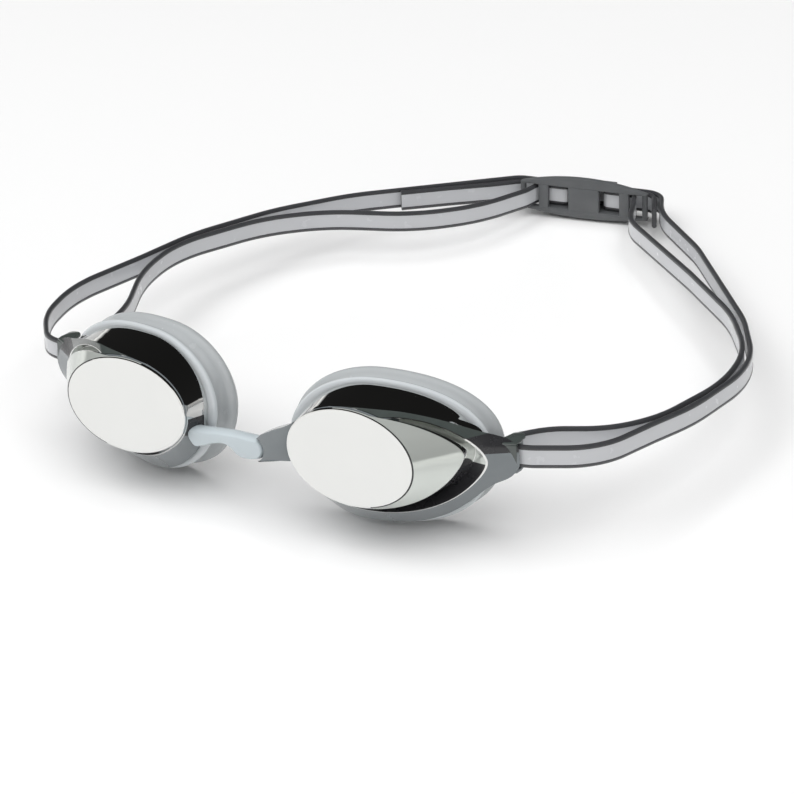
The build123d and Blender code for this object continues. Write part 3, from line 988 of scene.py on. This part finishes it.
def place_strap():
    """The strap's three pieces."""
    stripe = silicone("strap_stripe", (0.55, 0.56, 0.58), (0.565, 0.575, 0.595), 0.22, 0.06)
    border = silicone("strap_border", (0.045, 0.046, 0.05), (0.055, 0.056, 0.06), 0.28, 0.12)
    left, right, rear = strap_shapes()
    for side, shape in (("left", left), ("right", right)):
        piece = shape.make(f"strap_front_{side}", [stripe, border], 40)
        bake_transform(piece)
        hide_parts("head_strap")
    piece = rear.make("strap_rear", [stripe, border], 40)
    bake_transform(piece)
    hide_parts("head_strap")


def place_clip():
    """The rear clip."""
    piece = clip_shape().make("adjuster_clip", [clip_plastic()])
    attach(piece, "clip")
    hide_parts("rear_clip")


place_eyepieces()
place_bridge()
place_strap()
place_clip()


# ---------------------------------------------------------------- floor, light and camera


def add_floor():
    """A wide floor under the part."""
    mesh = bpy.data.meshes.new("floor")
    reach = 6.0
    corners = [(-reach, -reach, 0), (reach, -reach, 0), (reach, reach, 0), (-reach, reach, 0)]
    mesh.from_pydata(corners, [], [(0, 1, 2, 3)])
    mesh.materials.append(studio_floor())
    floor = bpy.data.objects.new("floor", mesh)
    bpy.context.scene.collection.objects.link(floor)


# Which way the surroundings get darker, and how bright they are that way
DARKWARDS = (0.05, 0.16, 1.0)
SKY = ((0.0, 1.0), (0.1, 0.97), (0.17, 0.014), (1.0, 0.01))


def add_world():
    """White surroundings that turn dark above a slanting horizon, lower in front and to the right."""
    world = bpy.data.worlds.new("studio")
    world.use_nodes = True
    nodes = world.node_tree.nodes
    links = world.node_tree.links
    place = nodes.new("ShaderNodeTexCoord")
    height = nodes.new("ShaderNodeVectorMath")
    height.operation = "DOT_PRODUCT"
    height.inputs[1].default_value = DARKWARDS
    links.new(place.outputs["Generated"], height.inputs[0])
    ramp = nodes.new("ShaderNodeValToRGB")
    links.new(height.outputs["Value"], ramp.inputs["Fac"])
    elements = ramp.color_ramp.elements
    while len(elements) < len(SKY):
        elements.new(0.5)
    for element, (position, level) in zip(elements, SKY):
        element.position = position
        element.color = (level, level * 0.99, level * 0.97, 1)
    links.new(ramp.outputs["Color"], nodes["Background"].inputs["Color"])
    nodes["Background"].inputs["Strength"].default_value = 1.0
    bpy.context.scene.world = world


def add_softbox(name, azimuth, elevation, distance, size, power):
    """A large square light pointed at the part, unseen in its mirrors."""
    light = bpy.data.lights.new(name, "AREA")
    light.shape = "SQUARE"
    light.size = size
    light.energy = power
    lamp = bpy.data.objects.new(name, light)
    bpy.context.scene.collection.objects.link(lamp)
    turn = math.radians(azimuth)
    rise = math.radians(elevation)
    towards = Vector((math.sin(turn) * math.cos(rise), -math.cos(turn) * math.cos(rise), math.sin(rise)))
    lamp.location = towards * distance
    lamp.rotation_euler = towards.to_track_quat("Z", "Y").to_euler()
    lamp.visible_glossy = False


CAMERA_AZIMUTH = math.radians(31.37)
CAMERA_ELEVATION = math.radians(21.11)
CAMERA_ROLL = math.radians(0.36)
CAMERA_PLACE = (424.10, -619.57, 298.71)
CAMERA_LENS = 149.6


def add_camera():
    """The camera, given in the working frame and tipped with the part."""
    right = Vector((math.cos(CAMERA_AZIMUTH), math.sin(CAMERA_AZIMUTH), 0))
    level = math.cos(CAMERA_ELEVATION)
    ahead = math.cos(CAMERA_AZIMUTH) * level
    forwards = Vector((-math.sin(CAMERA_AZIMUTH) * level, ahead, -math.sin(CAMERA_ELEVATION)))
    up = right.cross(forwards)
    rolled_right = math.cos(CAMERA_ROLL) * right + math.sin(CAMERA_ROLL) * up
    rolled_up = -math.sin(CAMERA_ROLL) * right + math.cos(CAMERA_ROLL) * up
    turn = TIP @ Matrix((rolled_right, rolled_up, -forwards)).transposed()
    camera = bpy.data.cameras.new("camera")
    camera.lens = CAMERA_LENS
    camera.sensor_width = 36.0
    camera.clip_end = 50.0
    viewer = bpy.data.objects.new("camera", camera)
    bpy.context.scene.collection.objects.link(viewer)
    viewer.matrix_world = Matrix.Translation(working_point(*CAMERA_PLACE)) @ turn.to_4x4()
    bpy.context.scene.camera = viewer


add_floor()
add_world()
add_softbox("overhead", 0, 80, 2.4, 4.0, 95)
add_softbox("left_fill", -70, 40, 1.6, 1.6, 8)
add_softbox("right_fill", 75, 35, 1.6, 1.6, 6)
add_camera()

bpy.context.scene.view_settings.view_transform = "Standard"
